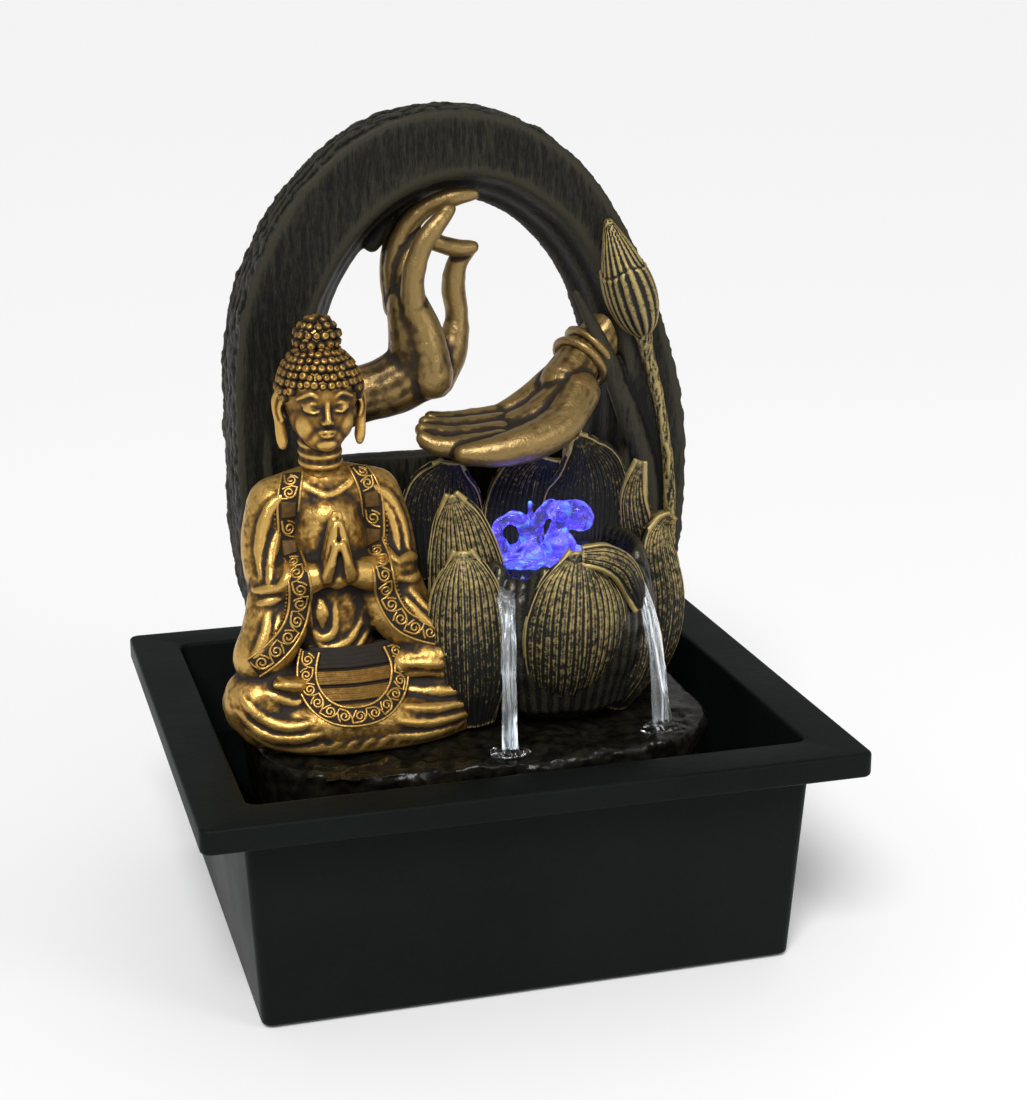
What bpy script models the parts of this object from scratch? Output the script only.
"""Tabletop water fountain.

A square-rimmed basin holds water and a small pump. A cast sculpture stands in
the basin on a hollow rock base: an egg-shaped arch with two hands in its
window, a lotus bowl with petals, a lotus bud on a stem, and a seated figure.
The pump sends water up a riser tube to a nozzle in the lotus bowl.

Frame: metres, +Z up, the front faces -Y, and the origin is the centre of the
basin's footprint on the surface that it stands on.
"""

import math

import bmesh
import bpy
from mathutils import Euler, Matrix, Vector

MM = 0.001

# Clearances
GAP = 0.3 * MM  # between pieces that rest on or meet each other
RUNNING_GAP = 0.05 * MM  # a shaft in its bush

# Basin
RIM_WIDTH = 210 * MM
RIM_DEPTH = 184 * MM
RIM_BAND = 23 * MM
RIM_THICKNESS = 8 * MM
RIM_CORNER = 3.5 * MM
BASIN_HEIGHT = 76 * MM
BASIN_WALL = 2.5 * MM
BASIN_FLOOR = 3 * MM
BASIN_DRAFT = 4 * MM
BASIN_CORNER = 5 * MM
BASIN_EDGE = 1 * MM
FOOT_HEIGHT = 1 * MM
FOOT_RADIUS = 7 * MM
FOOT_INSET = 14 * MM
GROMMET_BORE = 3.2 * MM
GROMMET_RADIUS = 5.5 * MM
GROMMET_FLANGE = 2.2 * MM
GROMMET_DROP = 22 * MM

# Rock base, which stands in the basin with its top below the rim
BASE_SIDE_SPACE = 3 * MM
BASE_END_SPACE = 15 * MM
BASE_SHIFT_Y = 2 * MM
BASE_DROP = 6 * MM
BASE_SHELL = 6 * MM
BASE_SLAB = 8 * MM
PORT_WIDTH = 24 * MM
PORT_HEIGHT = 18 * MM

# Arch
ARCH_LEDGE = 4 * MM  # base left free behind the arch
ARCH_FOOT_THICKNESS = 30 * MM
ARCH_CROWN_THICKNESS = 19 * MM
ARCH_OVERHANG = 0.2 * MM
ARCH_RISE = 121.5 * MM
ARCH_CENTRE_X = 5.7 * MM
ARCH_CENTRE_Z = 75 * MM  # above the rock base
ARCH_LEAN = 5.2 * MM
ARCH_ROUNDNESS = 2.15
ARCH_BAND = 21.2 * MM
WINDOW_RISE = 81 * MM
WINDOW_TAPER = 10 * MM
WINDOW_X = 4 * MM
WINDOW_Z = 95 * MM  # above the rock base
WINDOW_SILL = 80 * MM  # above the rock base
NICHE_DEPTH = 14 * MM

# Lotus bowl, riser and lamp
BOWL_INSET = 52 * MM  # from the base's right side to the bowl's axis
BOWL_STANDOFF = 24 * MM  # from the arch's front to the bowl's axis
BOWL_RADIUS = 34 * MM
BOWL_HEIGHT = 57 * MM
POOL_DEPTH = 15 * MM
BOWL_WALL = 3.5 * MM
TUBE_BORE = 5.3 * MM
TUBE_WALL = 1.2 * MM
TUBE_CLEARANCE = 1 * MM
PETAL_THICKNESS = 2.2 * MM
LAMP_RADIUS = 15 * MM
LAMP_HEIGHT = 4.5 * MM
LENS_THICKNESS = 1.5 * MM

# Pump
PUMP_WIDTH = 34 * MM
PUMP_HEIGHT = 30 * MM
HOUSING_LENGTH = 27 * MM
HEAD_LENGTH = 12 * MM
COVER_LENGTH = 9 * MM
PUMP_WALL = 2 * MM
CUP_HEIGHT = 6 * MM
CUP_RADIUS = 5 * MM
SPIGOT_HEIGHT = 10 * MM
ROTOR_RADIUS = 6.5 * MM
ROTOR_LENGTH = 18 * MM
BLADE_RADIUS = 8.5 * MM
BLADE_LENGTH = 5 * MM
SHAFT_RADIUS = 1 * MM
BUSH_RADIUS = 2.4 * MM
BUSH_SEAT = 2.5 * MM
DIAL_RADIUS = 8 * MM
DIAL_THICKNESS = 1.6 * MM

# Sizes and places worked out from those above
BASE_WIDTH = RIM_WIDTH - 2 * (RIM_BAND + BASE_SIDE_SPACE)
BASE_DEPTH = RIM_DEPTH - 2 * (RIM_BAND + BASE_END_SPACE)
BASE_TOP = BASIN_HEIGHT - BASE_DROP
ARCH_HALF_WIDTH = BASE_WIDTH / 2 + ARCH_OVERHANG
ARCH_FRONT = BASE_SHIFT_Y + BASE_DEPTH / 2 - ARCH_LEDGE - ARCH_FOOT_THICKNESS
WINDOW_HALF_WIDTH = ARCH_HALF_WIDTH - ARCH_BAND
BOWL_X = BASE_WIDTH / 2 - BOWL_INSET
BOWL_Y = ARCH_FRONT - BOWL_STANDOFF
FLOOR_Z = FOOT_HEIGHT + BASIN_FLOOR
BASE_FOOT_Z = FLOOR_Z + GAP
SEAT_Z = BASE_TOP + GAP
WINDOW_CENTRE = Vector((WINDOW_X, ARCH_FRONT, BASE_TOP + WINDOW_Z))
POOL_FLOOR_Z = SEAT_Z + BOWL_HEIGHT - POOL_DEPTH
PUMP_AXIS_Z = FLOOR_Z + GAP + CUP_HEIGHT + PUMP_HEIGHT / 2
PUMP_TOP_Z = PUMP_AXIS_Z + PUMP_HEIGHT / 2
TUBE_RADIUS = TUBE_BORE + TUBE_WALL
SPIGOT_RADIUS = TUBE_BORE - GAP

# Along the pump's shaft, from the axis of its spigot towards the back
HEAD_START = -HEAD_LENGTH / 2
HEAD_END = HEAD_LENGTH / 2
HOUSING_START = HEAD_END + GAP
COVER_START = HEAD_START - GAP - COVER_LENGTH
CHAMBER_START = HEAD_END - BLADE_LENGTH - 2 * MM
WELL_END = HOUSING_START + ROTOR_LENGTH + 1 * MM


# ---------------------------------------------------------------- helpers


def clear_scene():
    for obj in list(bpy.data.objects):
        bpy.data.objects.remove(obj)


def paint(name, colour, roughness, metallic=0.0):
    material = bpy.data.materials.new(name)
    material.use_nodes = True
    shader = material.node_tree.nodes["Principled BSDF"]
    shader.inputs["Base Color"].default_value = (*colour, 1)
    shader.inputs["Roughness"].default_value = roughness
    shader.inputs["Metallic"].default_value = metallic
    return material


def add_object(name, bm, material=None):
    """A new object from a bmesh, with its normals pointing outwards."""
    bmesh.ops.remove_doubles(bm, verts=bm.verts, dist=0.001 * MM)
    bmesh.ops.recalc_face_normals(bm, faces=bm.faces)
    mesh = bpy.data.meshes.new(name)
    bm.to_mesh(mesh)
    bm.free()
    obj = bpy.data.objects.new(name, mesh)
    bpy.context.scene.collection.objects.link(obj)
    if material:
        mesh.materials.append(material)
        mesh.shade_smooth()
        mesh.set_sharp_from_angle(angle=math.radians(35))
    return obj


def helper(name, bm):
    """A cutter, which isn't part of the object."""
    obj = add_object(name, bm)
    obj.hide_render = True
    obj.display_type = "WIRE"
    return obj


def evaluated_mesh(obj):
    graph = bpy.context.evaluated_depsgraph_get()
    graph.update()
    return bpy.data.meshes.new_from_object(obj.evaluated_get(graph), depsgraph=graph)


def cut(obj, cutter, operation="DIFFERENCE"):
    modifier = obj.modifiers.new(cutter.name, "BOOLEAN")
    modifier.operation = operation
    modifier.object = cutter


def carve(obj, *others, gap=GAP):
    """Cuts obj back from the finished shape of each other piece, with a gap."""
    for other in others:
        bm = bmesh.new()
        bm.from_mesh(evaluated_mesh(other))
        bm.transform(other.matrix_world)
        bmesh.ops.remove_doubles(bm, verts=bm.verts, dist=0.01 * MM)
        bm.normal_update()
        shifts = [vert.normal * vert.calc_shell_factor() * gap for vert in bm.verts]
        for vert, shift in zip(bm.verts, shifts):
            vert.co += shift if shift.length < 3 * gap else shift.normalized() * 3 * gap
        cut(obj, helper(f"{obj.name}_clear_of_{other.name}", bm))


def box(bm, low, high):
    size = Vector(high) - Vector(low)
    middle = (Vector(high) + Vector(low)) / 2
    return bmesh.ops.create_cube(
        bm, size=1, matrix=Matrix.Translation(middle) @ Matrix.Diagonal((*size, 1))
    )["verts"]


def box_cutter(name, low, high):
    bm = bmesh.new()
    box(bm, low, high)
    return helper(name, bm)


def rod(bm, start, end, radius, end_radius=None, segments=24):
    """A closed cylinder or cone between two points."""
    start, end = Vector(start), Vector(end)
    along = end - start
    turn = along.to_track_quat("Z", "Y").to_matrix().to_4x4()
    return bmesh.ops.create_cone(
        bm,
        cap_ends=True,
        segments=segments,
        radius1=radius,
        radius2=radius if end_radius is None else end_radius,
        depth=along.length,
        matrix=Matrix.Translation((start + end) / 2) @ turn,
    )["verts"]


def rod_cutter(name, start, end, radius, segments=24):
    bm = bmesh.new()
    rod(bm, start, end, radius, segments=segments)
    return helper(name, bm)


def loft(bm, loops):
    """Joins closed loops of equal point counts, one after another, and caps both ends."""
    rings = [[bm.verts.new(point) for point in loop] for loop in loops]
    count = len(rings[0])
    for lower, upper in zip(rings, rings[1:]):
        for i in range(count):
            j = (i + 1) % count
            bm.faces.new((lower[i], lower[j], upper[j], upper[i]))
    bm.faces.new(rings[0][::-1])
    bm.faces.new(rings[-1])


def rounded_rectangle(half_x, half_y, corner, z, segments=3):
    points = []
    for quarter, (sx, sy) in enumerate(((1, 1), (-1, 1), (-1, -1), (1, -1))):
        for step in range(segments + 1):
            angle = (quarter + step / segments) * math.pi / 2
            x = sx * (half_x - corner) + corner * math.cos(angle)
            y = sy * (half_y - corner) + corner * math.sin(angle)
            points.append(Vector((x, y, z)))
    return points


def superellipse(half_x, half_y, power, count):
    """Points round a superellipse in a plane, counter-clockwise from +x."""
    for step in range(count):
        angle = 2 * math.pi * step / count
        c, s = math.cos(angle), math.sin(angle)
        yield (
            half_x * math.copysign(abs(c) ** (2 / power), c),
            half_y * math.copysign(abs(s) ** (2 / power), s),
        )


def turned(name, profile, centre, material, segments=32, axis="Z"):
    """A piece turned about an axis from a closed profile of (radius, height) points."""
    bm = bmesh.new()
    verts = [bm.verts.new((r, 0, z)) for r, z in profile]
    edges = [bm.edges.new((a, b)) for a, b in zip(verts, verts[1:] + verts[:1])]
    bmesh.ops.spin(
        bm,
        geom=verts + edges,
        cent=(0, 0, 0),
        axis=(0, 0, 1),
        angle=2 * math.pi,
        steps=segments,
        use_merge=True,
    )
    bmesh.ops.remove_doubles(bm, verts=bm.verts, dist=0.001 * MM)
    if axis == "X":
        bm.transform(Matrix.Rotation(math.pi / 2, 4, "Y"))
    if axis == "Y":
        bm.transform(Matrix.Rotation(-math.pi / 2, 4, "X"))
    bm.transform(Matrix.Translation(centre))
    return add_object(name, bm, material)


# ------------------------------------------------- rounded, sculpted shapes


def ball(bm, centre, radii, turn=(0, 0, 0)):
    matrix = (
        Matrix.Translation(centre)
        @ Euler([math.radians(a) for a in turn]).to_matrix().to_4x4()
        @ Matrix.Diagonal((*radii, 1))
    )
    bmesh.ops.create_icosphere(bm, subdivisions=3, radius=1, matrix=matrix)


def smooth_path(points, steps=5):
    """A Catmull-Rom curve through points of any dimension."""
    points = [Vector(p) for p in points]
    ends = [2 * points[0] - points[1], *points, 2 * points[-1] - points[-2]]
    path = []
    for a, b, c, d in zip(ends, ends[1:], ends[2:], ends[3:]):
        for step in range(steps):
            t = step / steps
            path.append(
                0.5
                * (
                    2 * b
                    + (c - a) * t
                    + (2 * a - 5 * b + 4 * c - d) * t * t
                    + (3 * b - a - 3 * c + d) * t**3
                )
            )
    return [*path, points[-1]]


def limb(bm, points, place):
    """A tapering round limb through (x, y, z, radius) points, given in millimetres."""
    girth = MM * place.to_scale().y
    path = [(place @ (Vector(p[:3]) * MM), p[3] * girth) for p in smooth_path(points, 4)]
    for centre, radius in path:
        ball(bm, centre, (radius,) * 3)
    for (a, ra), (b, rb) in zip(path, path[1:]):
        if (b - a).length > 0.2 * MM:
            rod(bm, a, b, ra, rb, segments=16)


def sculpt(name, bm, material, voxel, faces, smoothing=3):
    """Melts overlapping closed shapes into one skin of about that many triangles."""
    obj = add_object(name, bm, material)
    remesh = obj.modifiers.new("melt", "REMESH")
    remesh.mode = "VOXEL"
    remesh.voxel_size = voxel
    smooth = obj.modifiers.new("soften", "SMOOTH")
    smooth.factor = 0.5
    smooth.iterations = smoothing
    found = sum(len(p.vertices) - 2 for p in evaluated_mesh(obj).polygons)
    thin = obj.modifiers.new("thin", "DECIMATE")
    thin.ratio = min(1.0, faces / found)
    return obj


def flatten_below(obj, z):
    reach = RIM_WIDTH
    cut(obj, box_cutter(f"{obj.name}_sole", (-reach, -reach, z - reach), (reach, reach, z)))


# ------------------------------------------------------------------ basin


def make_basin(resin):
    half_x, half_y = RIM_WIDTH / 2, RIM_DEPTH / 2
    under = BASIN_HEIGHT - RIM_THICKNESS
    inner_x, inner_y = half_x - RIM_BAND, half_y - RIM_BAND
    outer_x, outer_y = inner_x + BASIN_WALL, inner_y + BASIN_WALL
    edge = BASIN_EDGE
    inside_corner = 2 * MM
    outside = [
        (outer_x - BASIN_DRAFT - edge, outer_y - BASIN_DRAFT - edge, BASIN_CORNER, FOOT_HEIGHT),
        (outer_x - BASIN_DRAFT, outer_y - BASIN_DRAFT, BASIN_CORNER, FOOT_HEIGHT + edge),
        (outer_x, outer_y, BASIN_CORNER, under),
        (half_x - edge / 2, half_y - edge / 2, RIM_CORNER, under),
        (half_x, half_y, RIM_CORNER, under + edge / 2),
        (half_x, half_y, RIM_CORNER, BASIN_HEIGHT - edge),
        (half_x - edge, half_y - edge, RIM_CORNER, BASIN_HEIGHT),
    ]
    inside = [
        (inner_x + edge / 2, inner_y + edge / 2, inside_corner, BASIN_HEIGHT),
        (inner_x, inner_y, inside_corner, BASIN_HEIGHT - edge / 2),
        (inner_x - BASIN_DRAFT, inner_y - BASIN_DRAFT, inside_corner, FLOOR_Z),
    ]
    bm = bmesh.new()
    loft(bm, [rounded_rectangle(x, y, corner, z) for x, y, corner, z in outside + inside])
    basin = add_object("basin", bm, resin)
    back = outer_y
    centre_z = BASIN_HEIGHT - GROMMET_DROP
    reach = 12 * MM
    hole = rod_cutter(
        "grommet_hole",
        (0, back - reach, centre_z),
        (0, back + reach, centre_z),
        GROMMET_RADIUS + GAP,
    )
    cut(basin, hole)
    return basin


def basin_wall_shift(z, top, foot):
    """How far a face of the basin's wall, which leans in from its top, has moved in at z."""
    return BASIN_DRAFT * (top - z) / (top - foot)


def make_grommet(rubber):
    """A rubber ring in the back wall, where the pump's lead leaves the basin."""
    height = BASIN_HEIGHT - GROMMET_DROP
    wall_y = RIM_DEPTH / 2 - RIM_BAND
    inner_y = wall_y - basin_wall_shift(height, BASIN_HEIGHT - BASIN_EDGE / 2, FLOOR_Z)
    outer_top, outer_foot = BASIN_HEIGHT - RIM_THICKNESS, FOOT_HEIGHT + BASIN_EDGE
    outer_y = wall_y + BASIN_WALL - basin_wall_shift(height, outer_top, outer_foot)
    middle_y = (inner_y + outer_y) / 2
    flange_radius = GROMMET_RADIUS + GROMMET_FLANGE
    slope = BASIN_DRAFT / (outer_top - outer_foot)
    groove = (outer_y - inner_y) / 2 + slope * flange_radius + GAP
    flange = groove + 1.4 * MM
    profile = [
        (GROMMET_BORE, -flange),
        (flange_radius, -flange),
        (flange_radius, -groove),
        (GROMMET_RADIUS, -groove),
        (GROMMET_RADIUS, groove),
        (flange_radius, groove),
        (flange_radius, flange),
        (GROMMET_BORE, flange),
    ]
    return turned("cord_grommet", profile, (0, middle_y, height), rubber, 24, axis="Y")


def make_feet(rubber):
    half_x = RIM_WIDTH / 2 - RIM_BAND - BASIN_DRAFT - FOOT_INSET
    half_y = RIM_DEPTH / 2 - RIM_BAND - BASIN_DRAFT - FOOT_INSET
    names = ("front_left", "front_right", "back_left", "back_right")
    places = ((-1, -1), (1, -1), (-1, 1), (1, 1))
    for name, (sx, sy) in zip(names, places):
        bm = bmesh.new()
        centre = Vector((sx * half_x, sy * half_y, 0))
        rod(bm, centre, centre + Vector((0, 0, FOOT_HEIGHT - GAP / 2)), FOOT_RADIUS, segments=20)
        add_object(f"foot_{name}", bm, rubber)


# ------------------------------------------------------------------- pump

# The pump is drawn with its shaft along x, from the point on the shaft below its
# spigot. make_pump then parents it to an empty that turns it to face the front.


def make_suction_cups(rubber):
    first = HOUSING_START + CUP_RADIUS + 1 * MM
    last = HOUSING_START + HOUSING_LENGTH - CUP_RADIUS - 1 * MM
    side = PUMP_WIDTH / 2 - CUP_RADIUS - 1 * MM
    high = CUP_HEIGHT - GAP
    profile = [
        (0, 1.2 * MM),
        (CUP_RADIUS - 1 * MM, 0),
        (CUP_RADIUS, 0),
        (CUP_RADIUS * 0.6, 2 * MM),
        (CUP_RADIUS * 0.4, 3.2 * MM),
        (CUP_RADIUS * 0.4, high),
        (0, high),
    ]
    places = {
        "front_left": (first, side),
        "front_right": (first, -side),
        "back_left": (last, side),
        "back_right": (last, -side),
    }
    for name, (x, y) in places.items():
        centre = (x, y, -PUMP_HEIGHT / 2 - CUP_HEIGHT)
        turned(f"suction_cup_{name}", profile, centre, rubber, 16)


def pump_block(bm, start, end, shrink=0.0):
    """A block with the pump's rounded cross-section."""
    corner = max(5 * MM - shrink, 1 * MM)
    outline = rounded_rectangle(PUMP_WIDTH / 2 - shrink, PUMP_HEIGHT / 2 - shrink, corner, 0)
    loft(bm, [[Vector((x, point.x, point.y)) for point in outline] for x in (start, end)])


def make_pump_housing(plastic):
    bm = bmesh.new()
    pump_block(bm, HOUSING_START, HOUSING_START + HOUSING_LENGTH)
    housing = add_object("pump_housing", bm, plastic)
    mouth = HOUSING_START - 1 * MM
    cut(housing, rod_cutter("rotor_well", (mouth, 0, 0), (WELL_END, 0, 0), ROTOR_RADIUS + 0.5 * MM))
    seat_start, seat_end = WELL_END - 1 * MM, WELL_END + BUSH_SEAT
    seat = rod_cutter(
        "rear_bush_seat", (seat_start, 0, 0), (seat_end, 0, 0), BUSH_RADIUS + GAP, 16
    )
    cut(housing, seat)
    depth, half_height, margin = 1 * MM, 1.5 * MM, 6 * MM
    for name, side in (("left", 1), ("right", -1)):
        face = side * PUMP_WIDTH / 2
        low = (HOUSING_START + margin, face - depth, -half_height)
        high = (HOUSING_START + HOUSING_LENGTH - margin, face + depth, half_height)
        cut(housing, box_cutter(f"side_groove_{name}", low, high))


def make_pump_head(plastic):
    """The volute: a chamber for the impeller, an eye on the axis and a spigot on top."""
    bm = bmesh.new()
    pump_block(bm, HEAD_START, HEAD_END)
    head = add_object("pump_head", bm, plastic)
    shoulder = PUMP_HEIGHT / 2
    top = shoulder + SPIGOT_HEIGHT
    bm = bmesh.new()
    rod(bm, (0, 0, shoulder - 3 * MM), (0, 0, top), SPIGOT_RADIUS)
    cut(head, helper("spigot", bm), "UNION")
    chamber_radius = BLADE_RADIUS + 1.5 * MM
    start, end = (CHAMBER_START, 0, 0), (HEAD_END + 1 * MM, 0, 0)
    cut(head, rod_cutter("volute_chamber", start, end, chamber_radius))
    low, high = (0, 0, BLADE_RADIUS - 1 * MM), (0, 0, top + 1 * MM)
    cut(head, rod_cutter("outlet_bore", low, high, SPIGOT_RADIUS - 1.4 * MM))
    eyes, across = 4, 4.4 * MM
    for eye in range(eyes):
        angle = 2 * math.pi * (eye + 0.5) / eyes
        y, z = across * math.cos(angle), across * math.sin(angle)
        start, end = (HEAD_START - 1 * MM, y, z), (CHAMBER_START + 1 * MM, y, z)
        cut(head, rod_cutter(f"pump_eye_{eye + 1}", start, end, 1.7 * MM, 12))
    start, end = (CHAMBER_START - BUSH_SEAT, 0, 0), (CHAMBER_START + 1 * MM, 0, 0)
    cut(head, rod_cutter("front_bush_seat", start, end, BUSH_RADIUS + GAP, 16))


def make_impeller(magnet):
    """Blades in the volute, on a magnet that turns in the housing's well."""
    bore = SHAFT_RADIUS + RUNNING_GAP
    start = CHAMBER_START + 1 * MM
    collar = start + BLADE_LENGTH
    end = WELL_END - 1 * MM
    hub = 3 * MM
    profile = [
        (bore, start),
        (hub, start),
        (hub, collar - 1 * MM),
        (ROTOR_RADIUS, collar),
        (ROTOR_RADIUS, end),
        (bore, end),
    ]
    impeller = turned("impeller", profile, (0, 0, 0), magnet, 24, axis="X")
    blades, half_blade, sunk = 6, 0.5 * MM, 0.5 * MM
    bm = bmesh.new()
    for blade in range(blades):
        low = (start + 0.2 * MM, hub - sunk, -half_blade)
        high = (collar + sunk, BLADE_RADIUS, half_blade)
        verts = box(bm, low, high)
        matrix = Matrix.Rotation(2 * math.pi * blade / blades, 4, "X")
        bmesh.ops.transform(bm, matrix=matrix, verts=verts)
    cut(impeller, helper("impeller_blades", bm), "UNION")


def make_shaft_and_bushes(ceramic, rubber):
    """A fixed ceramic shaft, with a blind rubber bush at each end."""
    front = CHAMBER_START - BUSH_SEAT + GAP
    back = WELL_END + BUSH_SEAT - GAP
    end_wall = 0.7 * MM
    stand_out = 0.5 * MM
    bm = bmesh.new()
    start, end = (front + end_wall + GAP, 0, 0), (back - end_wall - GAP, 0, 0)
    rod(bm, start, end, SHAFT_RADIUS)
    add_object("rotor_shaft", bm, ceramic)
    bore = SHAFT_RADIUS + RUNNING_GAP
    for name, blind, mouth in (
        ("front_bush", front, CHAMBER_START + stand_out),
        ("rear_bush", back, WELL_END - stand_out),
    ):
        inner = blind + math.copysign(end_wall, mouth - blind)
        profile = [
            (0, blind),
            (BUSH_RADIUS, blind),
            (BUSH_RADIUS, mouth),
            (bore, mouth),
            (bore, inner),
            (0, inner),
        ]
        turned(name, profile, (0, 0, 0), rubber, 24, axis="X")


def make_intake_cover(plastic):
    """A snap-on cap with a slotted front that strains the water."""
    bm = bmesh.new()
    pump_block(bm, COVER_START, COVER_START + COVER_LENGTH)
    cover = add_object("intake_cover", bm, plastic)
    outside, inside = COVER_START - 1 * MM, COVER_START + PUMP_WALL + 1 * MM
    bm = bmesh.new()
    pump_block(bm, COVER_START + PUMP_WALL, COVER_START + COVER_LENGTH + 1 * MM, PUMP_WALL)
    cut(cover, helper("cover_hollow", bm))
    pitch, half_width, half_height = 5.4 * MM, 1 * MM, 9 * MM
    for slot in (-2, -1, 1, 2):
        y = slot * pitch
        low, high = (outside, y - half_width, -half_height), (inside, y + half_width, half_height)
        cut(cover, box_cutter(f"cover_slot_{slot}", low, high))
    pivot = SHAFT_RADIUS + 0.4 * MM + GAP
    cut(cover, rod_cutter("dial_pivot_hole", (outside, 0, 0), (inside, 0, 0), pivot, 16))


def make_flow_dial(plastic):
    """A turning shutter that covers more or fewer of the cover's slots."""
    back = COVER_START - GAP
    front = back - DIAL_THICKNESS
    stem, stem_end = SHAFT_RADIUS + 0.4 * MM, COVER_START + PUMP_WALL + 1.5 * MM
    profile = [
        (0, front),
        (DIAL_RADIUS, front),
        (DIAL_RADIUS, back),
        (stem, back),
        (stem, stem_end),
        (0, stem_end),
    ]
    dial = turned("flow_dial", profile, (0, 0, 0), plastic, 24, axis="X")
    bm = bmesh.new()
    half_grip, grip_reach = 0.6 * MM, DIAL_RADIUS * 0.7
    low = (front - 2 * MM, -half_grip, -grip_reach)
    high = (front + DIAL_THICKNESS / 2, half_grip, grip_reach)
    box(bm, low, high)
    cut(dial, helper("dial_grip", bm), "UNION")
    for name, side in (("left", 1), ("right", -1)):
        y = side * DIAL_RADIUS * 0.62
        start, end = (front - 1 * MM, y, 0), (back + GAP / 2, y, 0)
        cut(dial, rod_cutter(f"dial_window_{name}", start, end, DIAL_RADIUS * 0.24, 12))


def make_pump(plastic, rubber, ceramic):
    before = set(bpy.data.objects)
    make_suction_cups(rubber)
    make_pump_housing(plastic)
    make_pump_head(plastic)
    make_impeller(plastic)
    make_shaft_and_bushes(ceramic, rubber)
    make_intake_cover(plastic)
    make_flow_dial(plastic)
    frame = bpy.data.objects.new("pump_frame", None)
    bpy.context.scene.collection.objects.link(frame)
    frame.location = (BOWL_X, BOWL_Y, PUMP_AXIS_Z)
    frame.rotation_euler.z = math.pi / 2
    for obj in set(bpy.data.objects) - before - {frame}:
        obj.parent = frame


# -------------------------------------------------- riser, nozzle and lamp


def make_riser(silicone):
    low = PUMP_TOP_Z + 1 * MM
    high = POOL_FLOOR_Z - 1 * MM
    profile = [(TUBE_BORE, low), (TUBE_RADIUS, low), (TUBE_RADIUS, high), (TUBE_BORE, high)]
    return turned("riser_tube", profile, (BOWL_X, BOWL_Y, 0), silicone, 24)


def make_nozzle_and_lamp(plastic, lamp, lens):
    seat = POOL_FLOOR_Z + GAP
    flange_radius = TUBE_RADIUS + TUBE_CLEARANCE + 2 * MM
    flange_top = seat + 1.5 * MM
    tip = seat + LAMP_HEIGHT + LENS_THICKNESS + 3 * MM
    spout = 4 * MM
    bore = 2.8 * MM
    nozzle = [
        (bore, seat - 12 * MM),
        (SPIGOT_RADIUS, seat - 12 * MM),
        (SPIGOT_RADIUS, seat),
        (flange_radius, seat),
        (flange_radius, flange_top),
        (spout, flange_top),
        (spout, tip - 1 * MM),
        (spout - 0.8 * MM, tip),
        (bore, tip),
    ]
    centre = (BOWL_X, BOWL_Y, 0)
    turned("water_nozzle", nozzle, centre, plastic, 24)
    top = seat + LAMP_HEIGHT
    ring = [
        (flange_radius + GAP, seat),
        (LAMP_RADIUS, seat),
        (LAMP_RADIUS, top),
        (flange_radius + GAP, top),
    ]
    turned("lamp_ring", ring, centre, lamp, 32)
    lens_low = top + GAP
    glass = [
        (spout + GAP, lens_low),
        (LAMP_RADIUS, lens_low),
        (LAMP_RADIUS - 0.7 * MM, lens_low + LENS_THICKNESS),
        (spout + GAP, lens_low + LENS_THICKNESS),
    ]
    turned("lamp_lens", glass, centre, lens, 32)


# -------------------------------------------------------------- rock base


def rock_loop(scale, z, swell=0.0, count=40):
    """The rock's outline at one height, with a slow ripple so that it isn't regular."""
    points = []
    half_x, half_y = BASE_WIDTH / 2 * scale, BASE_DEPTH / 2 * scale
    for step, (x, y) in enumerate(superellipse(half_x, half_y, 3.4, count)):
        angle = 2 * math.pi * step / count
        ripple = 1 + swell * (math.sin(5 * angle + 1) + 0.6 * math.sin(9 * angle)) / 1.6
        points.append(Vector((x * ripple, BASE_SHIFT_Y + y * ripple, z)))
    return points


def make_rock_base(stone):
    bm = bmesh.new()
    top = BASE_TOP
    loft(
        bm,
        [
            rock_loop(0.90, BASE_FOOT_Z),
            rock_loop(0.93, BASE_FOOT_Z + (top - BASE_FOOT_Z) * 0.5, 0.006),
            rock_loop(0.975, top - BASE_SLAB, 0.008),
            rock_loop(0.99, top - 2 * MM, 0.008),
            rock_loop(0.965, top, 0.008),
        ],
    )
    base = add_object("rock_base", bm, stone)

    bm = bmesh.new()
    inner = 1 - 2 * BASE_SHELL / BASE_DEPTH
    below = BASE_FOOT_Z - 1 * MM
    loft(bm, [rock_loop(0.88 * inner, below), rock_loop(0.93 * inner, top - BASE_SLAB)])
    cut(base, helper("base_hollow", bm))

    hole = rod_cutter(
        "riser_hole_in_base",
        (BOWL_X, BOWL_Y, top - BASE_SLAB - 1 * MM),
        (BOWL_X, BOWL_Y, top + 1 * MM),
        TUBE_RADIUS + TUBE_CLEARANCE,
    )
    cut(base, hole)

    low = (BOWL_X - PORT_WIDTH / 2, BASE_SHIFT_Y, below)
    high = (BOWL_X + PORT_WIDTH / 2, BASE_SHIFT_Y + BASE_DEPTH, BASE_FOOT_Z + PORT_HEIGHT)
    cut(base, box_cutter("lead_port", low, high))
    return base


# ------------------------------------------------------------------- arch


def arch_outline(grow, y_of_z, count=64):
    """The arch's egg-shaped outline, cut off flat where it stands on the base."""
    centre_z = BASE_TOP + ARCH_CENTRE_Z
    points = []
    for x, z in superellipse(ARCH_HALF_WIDTH + grow, ARCH_RISE + grow, ARCH_ROUNDNESS, count):
        height = max(centre_z + z, SEAT_Z)
        rise = min(max(z / (ARCH_RISE * 0.6), 0), 1)
        lean = ARCH_LEAN * rise * rise * (3 - 2 * rise)
        points.append((ARCH_CENTRE_X - lean + x, height))
    return [Vector((x, y_of_z(z), z)) for x, z in points]


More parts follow.
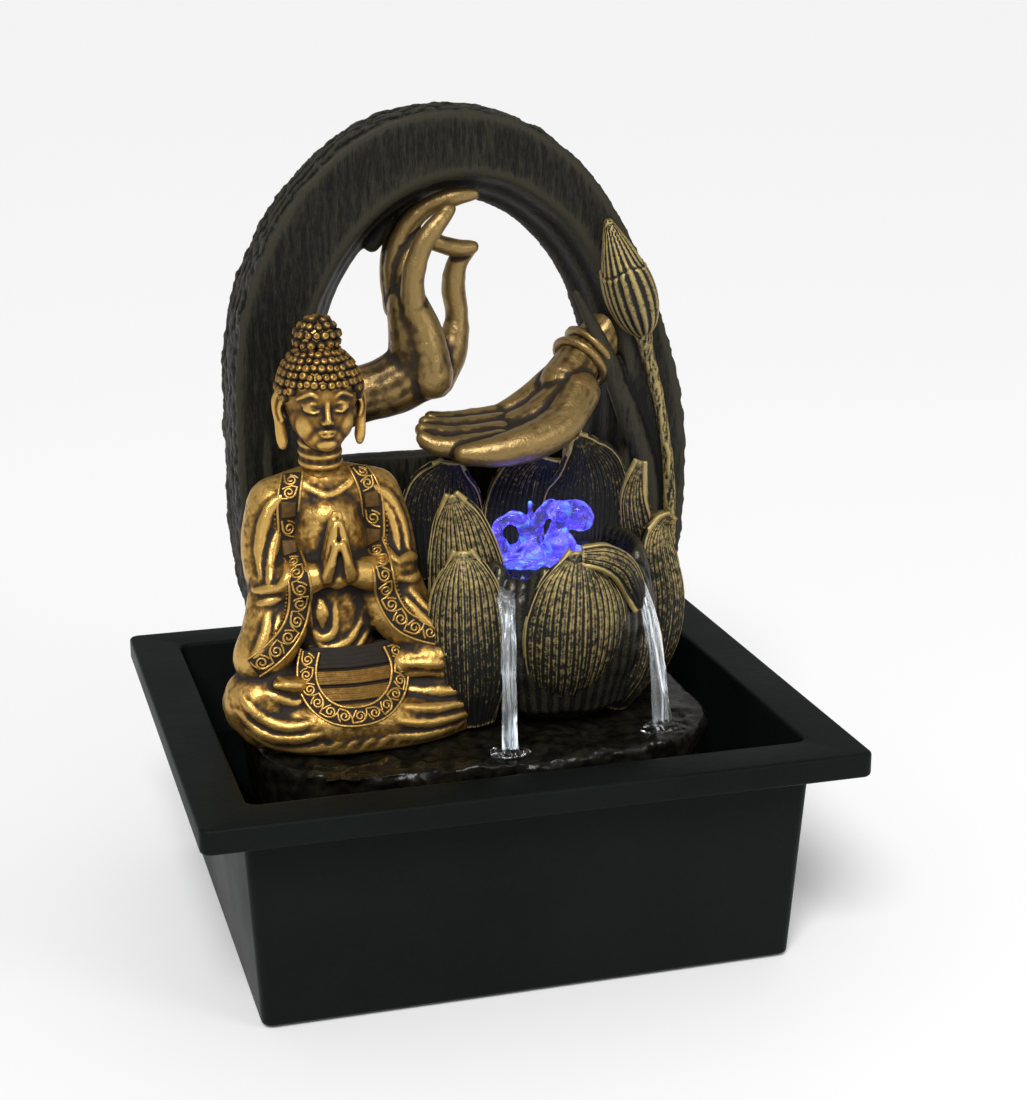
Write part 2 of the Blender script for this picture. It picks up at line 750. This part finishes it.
def arch_back(z):
    """The back leans in, so that the arch is thinner at its crown than at its foot."""
    share = min(max((z - BASE_TOP) / (ARCH_CENTRE_Z + ARCH_RISE), 0), 1)
    return ARCH_FRONT + ARCH_FOOT_THICKNESS + share * (ARCH_CROWN_THICKNESS - ARCH_FOOT_THICKNESS)


def window_loop(y, sill=None, grow=0.0, count=48):
    """The window's ellipse at one depth: it narrows towards the back."""
    inwards = WINDOW_TAPER * (y - ARCH_FRONT) / ARCH_FOOT_THICKNESS
    half_x = WINDOW_HALF_WIDTH - inwards + grow
    half_z = WINDOW_RISE - inwards + grow
    points = []
    for x, z in superellipse(half_x, half_z, 2, count):
        height = WINDOW_CENTRE.z + z
        if sill is not None:
            height = max(height, sill)
        points.append(Vector((WINDOW_CENTRE.x + x, y, height)))
    return points


def make_arch(stone):
    bm = bmesh.new()
    chamfer = 1.2 * MM
    loft(
        bm,
        [
            arch_outline(-chamfer, lambda z: ARCH_FRONT),
            arch_outline(0, lambda z: ARCH_FRONT + chamfer),
            arch_outline(1 * MM, arch_back),
        ],
    )
    arch = add_object("arch", bm, stone)
    near, far = ARCH_FRONT - 2 * MM, ARCH_FRONT + ARCH_FOOT_THICKNESS + 5 * MM
    bm = bmesh.new()
    sill = BASE_TOP + WINDOW_SILL
    loft(bm, [window_loop(near, sill), window_loop(far, sill)])
    cut(arch, helper("window", bm))
    bm = bmesh.new()
    niche_floor = ARCH_FRONT + NICHE_DEPTH
    loft(bm, [window_loop(near, grow=-0.4 * MM), window_loop(niche_floor, grow=-0.4 * MM)])
    cut(arch, helper("niche", bm))
    return arch


# ------------------------------------------------------------------ hands

# Each hand is given from the window's centre in millimetres: x, y, z, radius.
RAISED_HAND = (
    [(-58, 12, -2, 9.5), (-46, 11, 5, 9.5), (-34, 11, 9, 9.5), (-24, 10, 10.5, 10), (-15, 8.5, 15, 10.5)],
    [(-15, 8, 15, 10.5), (-15, 7, 26, 9.5), (-18, 8, 37, 7)],
    [(-17, 4, 36, 4.4), (-17.6, 2.5, 48, 3.7), (-14, 2, 58.5, 3.6), (-9, 2, 65, 3.1), (-4.5, 3, 69.5, 2.3)],
    [
        (-18, 9, 39, 4.2),
        (-17.8, 11, 51, 3.6),
        (-11.5, 12, 58.5, 3.4),
        (-5, 12, 56.5, 3.2),
        (0.7, 12, 55, 3),
        (5.5, 12, 55.2, 2.6),
    ],
    [
        (-20, 12, 39, 4.2),
        (-21, 14, 51, 3.7),
        (-17, 13, 62.5, 3.6),
        (-9.6, 11, 69.5, 3.4),
        (-1.6, 9, 72.5, 3.2),
        (5, 8, 74, 2.4),
    ],
    [(-21, 14, 38, 4), (-22, 17, 50, 3.5), (-19.5, 18, 60, 3.3), (-15.5, 17, 66.5, 3)],
    [
        (-9, 12, 12, 7.5),
        (-2, 15, 20, 6),
        (0.8, 16, 32, 4.2),
        (-0.6, 16, 42.5, 4),
        (0.8, 15, 50, 3.7),
        (3.6, 13.6, 53.5, 3.2),
    ],
)
FOREARM = [(57, 13, 27, 8.6), (50, 11, 21, 8.4), (42, 8, 15, 8.2), (34, 2, 8.5, 8)]
OPEN_HAND = (
    FOREARM,
    [(36, 6, 10, 6.5), (25, 7, 2, 6), (14, 7, -3.5, 5)],
    [(34, -2, 6, 7.5), (24, -3, -1, 7), (14, -2, -5, 6)],
    [(36, -6, 6, 6.5), (27, -15, -1.5, 5.5), (15, -19, -4.5, 4.8), (5, -20, -5.5, 4.2), (-4, -19.5, -6, 2.4)],
    [(14, 6.5, -3, 4.4), (3.6, 6.5, -3.2, 3.9), (-5, 6, -3.3, 3.5), (-11.5, 5, -0.7, 2.6)],
    [(12, 0, -4.3, 4.6), (0, -0.5, -4.3, 4.1), (-8.7, -1, -3.6, 3.6), (-15, -1, -0.5, 2.7)],
    [(10, -7.5, -5.5, 4.6), (-3, -8, -5.6, 4.1), (-11.6, -7, -4.5, 3.6), (-17, -6, -2, 2.7)],
    [(8.5, -13.5, -6.8, 4.6), (-4.5, -14, -7.2, 3.9), (-13, -12, -6.4, 3.4), (-17.5, -9.5, -4, 2.6)],
    [(22, -8, -6, 7), (10, -7, -9, 6), (-2, -6, -9, 4.5)],
)


def hand_place():
    """Hands are drawn in a window of the nominal size, and stretch with the real one."""
    nominal_half_width, nominal_rise = 58 * MM, 81 * MM
    stretch = Matrix.Diagonal(
        (WINDOW_HALF_WIDTH / nominal_half_width, 1, WINDOW_RISE / nominal_rise, 1)
    )
    return Matrix.Translation(WINDOW_CENTRE) @ stretch


def make_hand(name, limbs, bronze, arch, *others):
    bm = bmesh.new()
    place = hand_place()
    for points in limbs:
        limb(bm, points, place)
    hand = sculpt(name, bm, bronze, voxel=0.8 * MM, faces=1000)
    carve(hand, arch, *others)
    return hand


def make_bangle(name, bronze, share, arch, hand):
    """A ring round the forearm, in the plane across it."""
    path = smooth_path(FOREARM, 8)
    index = round(share * (len(path) - 1))
    place = hand_place()
    centre = place @ (Vector(path[index][:3]) * MM)
    ahead = place @ (Vector(path[index + 1][:3]) * MM)
    ring, wire = (path[index][3] + 1.9) * MM, 1.3 * MM
    bm = bmesh.new()
    verts = bmesh.ops.create_circle(bm, segments=6, radius=wire)["verts"]
    edges = list({edge for vert in verts for edge in vert.link_edges})
    matrix = Matrix.Translation((ring, 0, 0)) @ Matrix.Rotation(math.pi / 2, 4, "X")
    bmesh.ops.transform(bm, matrix=matrix, verts=verts)
    bmesh.ops.spin(
        bm,
        geom=verts + edges,
        cent=(0, 0, 0),
        axis=(0, 0, 1),
        angle=2 * math.pi,
        steps=20,
        use_merge=True,
    )
    turn = (ahead - centre).to_track_quat("Z", "Y").to_matrix().to_4x4()
    bm.transform(Matrix.Translation(centre) @ turn)
    bangle = add_object(name, bm, bronze)
    carve(bangle, arch, hand)
    return bangle


# ------------------------------------------------------------------ lotus

# name, bearing from the front in degrees (positive to the right), half width,
# foot and tip heights above the base, how far the tip leans out, and its layer
PETALS = (
    ("petal_front", -12, 21, 4, 61, 1.0, 0),
    ("petal_front_right", 30, 17, 10, 57, 3.5, 1),
    ("petal_front_left", -72, 16, 2, 56, 1.5, 0),
    ("petal_left", -98, 14, 8, 78, 2.0, 1),
    ("petal_low_right", 64, 15, 4, 36, 1.5, 0),
    ("petal_right", 88, 13, 6, 66, 4.0, 1),
    ("petal_back_right", 108, 10, 40, 80, 1.0, 0),
)


def bowl_radius(height):
    """The bowl's outer radius at a height above the rock base."""
    share = min(max(height / BOWL_HEIGHT, 0), 1)
    return BOWL_RADIUS * (0.55 + 0.47 * math.sin(math.pi * (0.12 + 0.62 * share)) ** 0.9)


def make_bowl(stone, *others):
    levels = 7
    outer = [
        (bowl_radius(BOWL_HEIGHT * i / levels), SEAT_Z + BOWL_HEIGHT * i / levels)
        for i in range(levels + 1)
    ]
    rim = outer[-1][0] - BOWL_WALL
    bore = TUBE_RADIUS + TUBE_CLEARANCE
    inner = [
        (rim, SEAT_Z + BOWL_HEIGHT),
        (rim - 1.5 * MM, POOL_FLOOR_Z + 2 * MM),
        (rim - 4 * MM, POOL_FLOOR_Z),
        (bore, POOL_FLOOR_Z),
        (bore, SEAT_Z),
    ]
    bowl = turned("lotus_bowl", outer + inner, (BOWL_X, BOWL_Y, 0), stone, 24)
    notch_floor = SEAT_Z + BOWL_HEIGHT - 5 * MM
    for name, bearing in (("spout_left", -42), ("spout_right", 58)):
        direction = Vector((math.sin(math.radians(bearing)), -math.cos(math.radians(bearing)), 0))
        start = Vector((BOWL_X, BOWL_Y, notch_floor + 4 * MM)) + direction * (rim - 6 * MM)
        cut(bowl, rod_cutter(name, start, start + direction * 16 * MM, 4.5 * MM, 16))
    carve(bowl, *others)
    return bowl


def make_petal(name, bearing, half_width, foot, tip, lean, layer, stone):
    """A curved, pointed leaf that follows the bowl and leans out at its tip."""
    rows, columns = 7, 4
    skin = GAP + layer * (PETAL_THICKNESS + GAP)
    grid = []
    for row in range(rows + 1):
        v = row / rows
        height = foot + (tip - foot) * v
        belly = math.sin(math.pi * min(0.16 + 0.84 * v, 1)) ** 0.6
        width = max(half_width * belly, 0.9)
        line = []
        for column in range(columns + 1):
            u = 2 * column / columns - 1
            radius = bowl_radius(height * MM) + skin
            cup = 1.6 * MM * (1 - u * u)
            out = lean * MM * max(v - 0.6, 0) ** 2 / 0.16
            angle = math.radians(bearing) + u * width * MM / (radius + 4 * MM)
            r = radius + out + cup * math.sin(math.pi * v)
            line.append((angle, r, SEAT_Z + height * MM))
        grid.append(line)
    bm = bmesh.new()
    sides = []
    for extra in (0.0, PETAL_THICKNESS):
        sides.append(
            [
                [
                    bm.verts.new(
                        (
                            BOWL_X + (r + extra) * math.sin(angle),
                            BOWL_Y - (r + extra) * math.cos(angle),
                            z,
                        )
                    )
                    for angle, r, z in line
                ]
                for line in grid
            ]
        )
    inner, outer = sides
    for row in range(rows):
        for column in range(columns):
            for sheet in (inner, outer):
                bm.faces.new(
                    (
                        sheet[row][column],
                        sheet[row][column + 1],
                        sheet[row + 1][column + 1],
                        sheet[row + 1][column],
                    )
                )
    edge = [(0, c) for c in range(columns)]
    edge += [(r, columns) for r in range(rows)]
    edge += [(rows, c) for c in range(columns, 0, -1)]
    edge += [(r, 0) for r in range(rows, 0, -1)]
    for (r0, c0), (r1, c1) in zip(edge, edge[1:] + edge[:1]):
        bm.faces.new((inner[r0][c0], inner[r1][c1], outer[r1][c1], outer[r0][c0]))
    return add_object(name, bm, stone)


# Leaves that stand against the arch behind the pool: x and z of the tip, half
# width and height in millimetres, the tip's height given above the rock base
BACK_LEAVES = (
    ("back_leaf_left", -6, 82, 14, 30),
    ("back_leaf_middle", 19, 82, 16, 28),
    ("back_leaf_right", 44, 86, 18, 36),
)


def make_back_leaf(name, x, tip, half_width, height, stone):
    bm = bmesh.new()
    centre = Vector((x * MM, ARCH_FRONT + 1 * MM, BASE_TOP + (tip - height * 0.55) * MM))
    ball(bm, centre, (half_width * MM, 5 * MM, height * 0.55 * MM))
    low = centre - Vector((0, 0, height * 0.45 * MM))
    rod(bm, low, centre, half_width * 0.8 * MM, half_width * 0.9 * MM)
    point = centre + Vector((0, -1 * MM, height * 0.55 * MM))
    rod(bm, centre, point, half_width * 0.55 * MM, 1 * MM)
    bmesh.ops.scale(
        bm,
        vec=(1, 0.42, 1),
        space=Matrix.Translation(-centre),
        verts=bm.verts,
    )
    return sculpt(name, bm, stone, voxel=1 * MM, faces=260)


# Bud and stem on the arch's right face, from the window's centre in millimetres
BUD_CENTRE = (58, -2, 41)
BUD_RADII = (10, 6, 17)
BUD_TIP = [(58, -2, 50, 6), (54, -3, 58, 3), (51.5, -3, 62, 1.6)]
STEM = [
    (64, -0.5, 25, 3.2),
    (68.5, -0.5, 18, 2.4),
    (72, -0.5, 2, 2.3),
    (75, -0.5, -16, 2.2),
    (76, -0.5, -35, 2.3),
    (74.5, -0.5, -58, 2.5),
    (70, -0.5, -86, 3),
]


def make_bud_and_stem(stone, arch):
    place = hand_place()
    bm = bmesh.new()
    ball(bm, place @ (Vector(BUD_CENTRE) * MM), [r * MM for r in BUD_RADII], (0, -19, 0))
    limb(bm, BUD_TIP, place)
    bud = sculpt("lotus_bud", bm, stone, voxel=0.9 * MM, faces=280)
    carve(bud, arch)
    bm = bmesh.new()
    limb(bm, STEM, place)
    stem = sculpt("lotus_stem", bm, stone, voxel=0.9 * MM, faces=320)
    flatten_below(stem, SEAT_Z)
    carve(stem, arch, bud)
    return bud, stem


# ----------------------------------------------------------- seated figure

# The figure fills the base beside the bowl, and partly hides the bowl. Its width is held to a share of
# the base's depth too, because its knees and its back grow with it.
FIGURE_OVERLAP = 14.6 * MM
FIGURE_WIDTH = min(BASE_WIDTH / 2 + BOWL_X - BOWL_RADIUS + FIGURE_OVERLAP, 0.81 * BASE_DEPTH)
FIGURE_X = -BASE_WIDTH / 2 + 0.352 * FIGURE_WIDTH
# x, y, z, radius in millimetres from the middle of the seat, for a figure 86.6 mm wide
FIGURE_DRAWN_WIDTH = 86.6 * MM
FIGURE_Y = ARCH_FRONT - 22 * MM * FIGURE_WIDTH / FIGURE_DRAWN_WIDTH
FIGURE_LIMBS = (
    [(0, -2, 22, 17), (0, -1, 44, 15.5), (0, 0, 62, 15), (0, 0, 74, 13)],
    [(-16, 1, 78, 9), (0, 1, 80, 9.5), (16, 1, 78, 9)],
    [(-20, 1, 77, 8.5), (-25, -1, 64, 8.5), (-26, -5, 50, 8.5)],
    [(20, 1, 77, 8.5), (26, -1, 64, 8.5), (28, -5, 50, 8.5)],
    [(-26, -6, 50, 8), (-16, -14, 54, 6.5), (-6, -19, 58, 5)],
    [(28, -6, 50, 8), (17, -14, 54, 6.5), (6, -19, 58, 5)],
    [(0, -19, 56, 5.5), (0, -20, 66, 4.6), (0, -20.5, 78, 2.2)],
    [(-25, -8, 46, 8.5), (-28, -12, 34, 8), (-33, -14, 24, 8)],
    [(27, -8, 46, 8.5), (31, -12, 34, 8), (38, -14, 24, 8)],
    [(-2, -8, 14, 14), (-18, -13, 15, 13.5), (-23.5, -14, 15.5, 12.5)],
    [(4, -8, 14, 14), (27, -13, 14, 14), (34, -14, 14, 12)],
    [(-26, -22, 7, 7), (0, -25, 8, 8), (28, -22, 7, 7)],
    [(-14, -2, 66, 11), (-14, -4, 40, 12), (-14, -4, 24, 12)],
    [(14, -2, 66, 11), (15, -4, 40, 12), (18, -4, 24, 12)],
    [(0, 8, 12, 10), (-22, 6, 12, 9)],
    [(0, 8, 12, 10), (28, 6, 12, 9)],
)
HEAD_BALLS = (
    ((-1, -3.5, 112), (12, 12.5, 15)),
    ((-1, -1.5, 117), (14.5, 14, 13)),
    ((-1, -5, 104), (9.5, 10, 9)),
    ((-1, -1, 130), (6.2, 6.2, 6)),
)
HEAD_LIMBS = (
    [(-14, -2, 108, 2.6), (-14.2, -2, 101, 2.2)],
    [(12, -2, 108, 2.6), (12.2, -2, 101, 2.2)],
    [(-1, -1, 88, 6.5), (-1, -1.5, 100, 6.5)],
)
NECK_CUT = 91.5  # height of the joint between the head and the body


def figure_place():
    scale = FIGURE_WIDTH / FIGURE_DRAWN_WIDTH
    return Matrix.Translation((FIGURE_X, FIGURE_Y, SEAT_Z)) @ Matrix.Scale(scale, 4)


def make_figure(gold):
    place = figure_place()
    scale = place.to_scale().x
    bm = bmesh.new()
    for points in FIGURE_LIMBS:
        limb(bm, points, place)
    body = sculpt("figure_body", bm, gold, voxel=1.2 * MM, faces=1500, smoothing=10)
    flatten_below(body, SEAT_Z)
    joint = place @ Vector((0, 0, NECK_CUT * MM))
    reach = Vector((30 * MM, 30 * MM, 30 * MM))
    above = box_cutter("body_top", joint - Vector((*reach.xy, 0)), joint + reach)
    cut(body, above)

    bm = bmesh.new()
    for centre, radii in HEAD_BALLS:
        ball(bm, place @ (Vector(centre) * MM), [r * MM * scale for r in radii])
    for points in HEAD_LIMBS:
        limb(bm, points, place)
    head = sculpt("figure_head", bm, gold, voxel=0.9 * MM, faces=900)
    below = box_cutter("head_sole", joint - reach, joint + Vector((*reach.xy, GAP)))
    cut(head, below)
    return body


# ------------------------------------------------------------------- main


def main():
    clear_scene()
    charcoal = paint("basin_resin", (0.022, 0.028, 0.027), 0.55)
    stone = paint("arch_resin", (0.035, 0.036, 0.028), 0.5)
    rock = paint("rock_resin", (0.03, 0.022, 0.014), 0.35)
    bronze = paint("bronze_finish", (0.19, 0.12, 0.045), 0.38, 0.7)
    gold = paint("gold_finish", (0.42, 0.25, 0.07), 0.33, 0.8)
    petal = paint("petal_finish", (0.07, 0.06, 0.03), 0.45, 0.3)
    black = paint("black_plastic", (0.012, 0.012, 0.013), 0.4)
    rubber = paint("rubber", (0.02, 0.02, 0.02), 0.8)
    ceramic = paint("ceramic", (0.8, 0.8, 0.78), 0.25)
    clear = paint("clear_lens", (0.6, 0.7, 1.0), 0.1)
    silicone = paint("silicone", (0.6, 0.62, 0.6), 0.35)

    make_basin(charcoal)
    make_grommet(rubber)
    make_feet(rubber)

    make_pump(black, rubber, ceramic)
    make_riser(silicone)
    make_nozzle_and_lamp(black, black, clear)

    make_rock_base(rock)
    arch = make_arch(stone)
    raised = make_hand("raised_hand", RAISED_HAND, bronze, arch)
    palm = make_hand("open_hand", OPEN_HAND, bronze, arch, raised)
    make_bangle("bangle_upper", bronze, 0.5, arch, palm)
    make_bangle("bangle_lower", bronze, 0.68, arch, palm)
    make_bud_and_stem(petal, arch)
    body = make_figure(gold)

    bowl = make_bowl(petal, arch, body)
    leaves = [make_back_leaf(*leaf, petal) for leaf in BACK_LEAVES]
    placed = []
    for leaf in leaves:
        carve(leaf, arch, palm, raised, bowl, *placed)
        placed.append(leaf)
    for values in sorted(PETALS, key=lambda values: values[-1]):
        petal_piece = make_petal(*values, petal)
        carve(petal_piece, arch, body, *placed)
        placed.append(petal_piece)


main()
